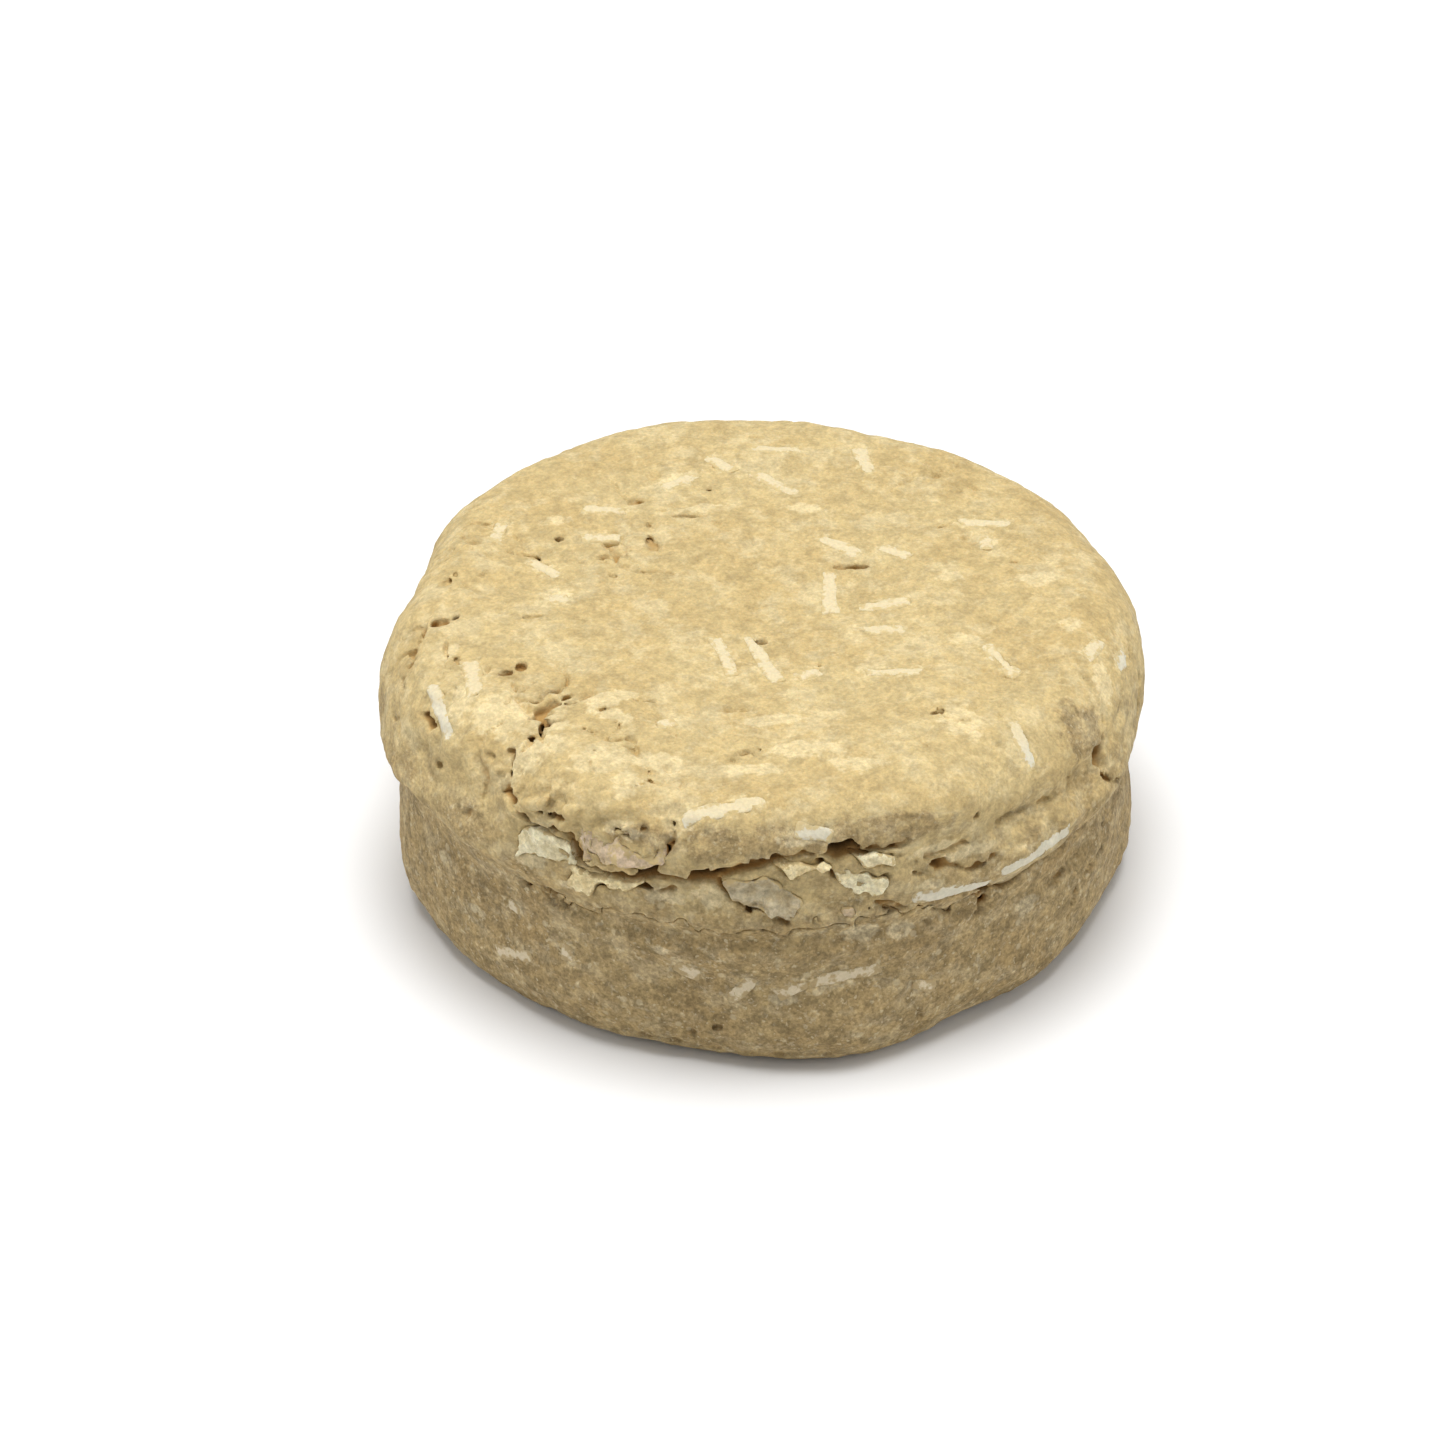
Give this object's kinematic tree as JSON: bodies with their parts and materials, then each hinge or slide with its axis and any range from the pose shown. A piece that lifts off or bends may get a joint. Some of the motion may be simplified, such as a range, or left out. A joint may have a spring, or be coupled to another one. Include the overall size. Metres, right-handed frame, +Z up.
{
  "type": "shaving soap puck",
  "caption": "Round pressed soap puck with a flat base, a rounded overhanging rim, a cracked front and short pale noodles set in every surface.",
  "frame": {"origin": "centre of the flat base, which the puck rests on", "axes": "+Z up through the puck's height; the cracked front faces -Y and +X is to the right as seen from the front"},
  "size_m": [0.0701, 0.0717, 0.0286],
  "materials": {
    "paste_lower": "matte pressed soap paste, granular and slightly waxy",
    "paste_upper": "matte pressed soap paste, granular and slightly waxy",
    "noodle": "smooth matte extruded soap rod",
    "flake_cream": "matte broken soap, fine grained",
    "flake_pink": "matte broken soap, fine grained",
    "flake_yellow": "matte broken soap, fine grained",
    "flake_grey": "matte broken soap, fine grained"
  },
  "bodies": {
    "root": {"base_layer": "paste_lower", "top_layer": "paste_upper", "cream_chunk": "flake_cream", "pinkish_block": "flake_pink", "yellow_ledge": "flake_yellow", "grey_flake": "flake_grey", "peeled_flake": "flake_yellow", "cream_block": "flake_cream", "upper_crumb": "flake_cream", "lower_crumb": "flake_pink", "top_noodle_01": "noodle", "top_noodle_02": "noodle", "top_noodle_03": "noodle", "top_noodle_04": "noodle", "top_noodle_05": "noodle", "top_noodle_06": "noodle", "top_noodle_07": "noodle", "top_noodle_08": "noodle", "top_noodle_09": "noodle", "top_noodle_10": "noodle", "top_noodle_11": "noodle", "top_noodle_12": "noodle", "top_noodle_13": "noodle", "top_noodle_14": "noodle", "top_noodle_15": "noodle", "top_noodle_16": "noodle", "top_noodle_17": "noodle", "top_noodle_18": "noodle", "top_noodle_19": "noodle", "top_noodle_20": "noodle", "top_noodle_21": "noodle", "top_noodle_22": "noodle", "top_noodle_23": "noodle", "top_noodle_24": "noodle", "rim_noodle_01": "noodle", "rim_noodle_02": "noodle", "rim_noodle_03": "noodle", "rim_noodle_04": "noodle", "rim_noodle_05": "noodle", "rim_noodle_06": "noodle", "rim_noodle_07": "noodle", "rim_noodle_08": "noodle", "side_noodle_01": "noodle", "side_noodle_02": "noodle", "side_noodle_03": "noodle", "side_noodle_04": "noodle", "side_noodle_05": "noodle", "side_noodle_06": "noodle", "side_noodle_07": "noodle", "side_noodle_08": "noodle", "back_noodles": "noodle", "base_noodles": "noodle", "inner_noodles_top": "noodle", "inner_noodles_base": "noodle"}
  },
  "joints": []
}
